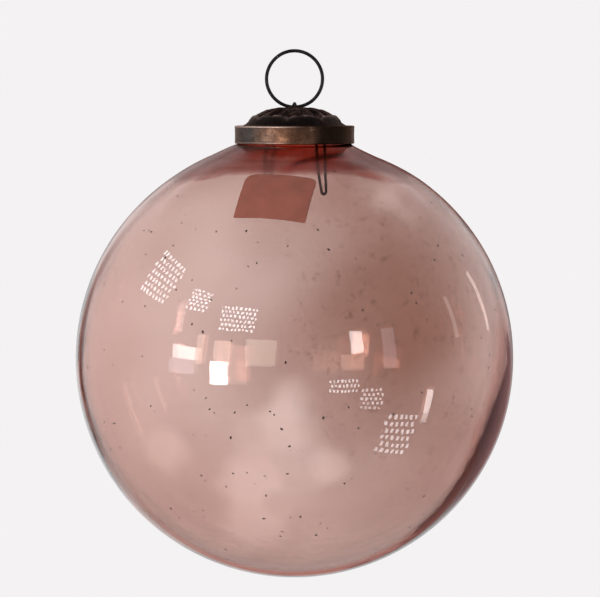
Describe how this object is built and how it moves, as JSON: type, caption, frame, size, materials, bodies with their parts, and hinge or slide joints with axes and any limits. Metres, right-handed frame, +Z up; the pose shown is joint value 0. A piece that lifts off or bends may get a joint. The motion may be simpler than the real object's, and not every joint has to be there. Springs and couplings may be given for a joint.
{
  "type": "glass ball ornament",
  "caption": "Hanging ball of clear pink blown glass, with a pressed metal leaf cap that a spring wire clip holds in its neck and a wire ring to hang it by.",
  "frame": {"origin": "point inside the top of the ring, where a hook bears", "axes": "+Z up, along the ornament's axis; +X right; -Y the front, the side that the label faces"},
  "size_m": [0.127, 0.127, 0.1531],
  "materials": {
    "pink_glass": "clear blown glass, tinted pink",
    "aged_copper": "aged copper brown, satin",
    "dark_bronze": "embossed, dark brown patina",
    "spring_wire": "blackened spring wire",
    "ring_wire": "blackened wire",
    "label_paper": "bare uncoated paper"
  },
  "bodies": {
    "ring": {"hanging_ring": "ring_wire"},
    "cap": {"cap_collar": "aged_copper", "cap_crown": "dark_bronze", "spring_clip": "spring_wire"},
    "ball": {"glass_ball": "pink_glass", "paper_label": "label_paper"}
  },
  "joints": [
    {"name": "ring_swing", "type": "hinge", "parent": "ring", "child": "cap", "pos_m": [0, 0, -0.0157], "axis": [1, 0, 0], "range_deg": [-55, 55]},
    {"name": "cap_pull", "type": "slide", "parent": "cap", "child": "ball", "axis": [0, 0, -1], "range_m": [0, 0.03]}
  ]
}
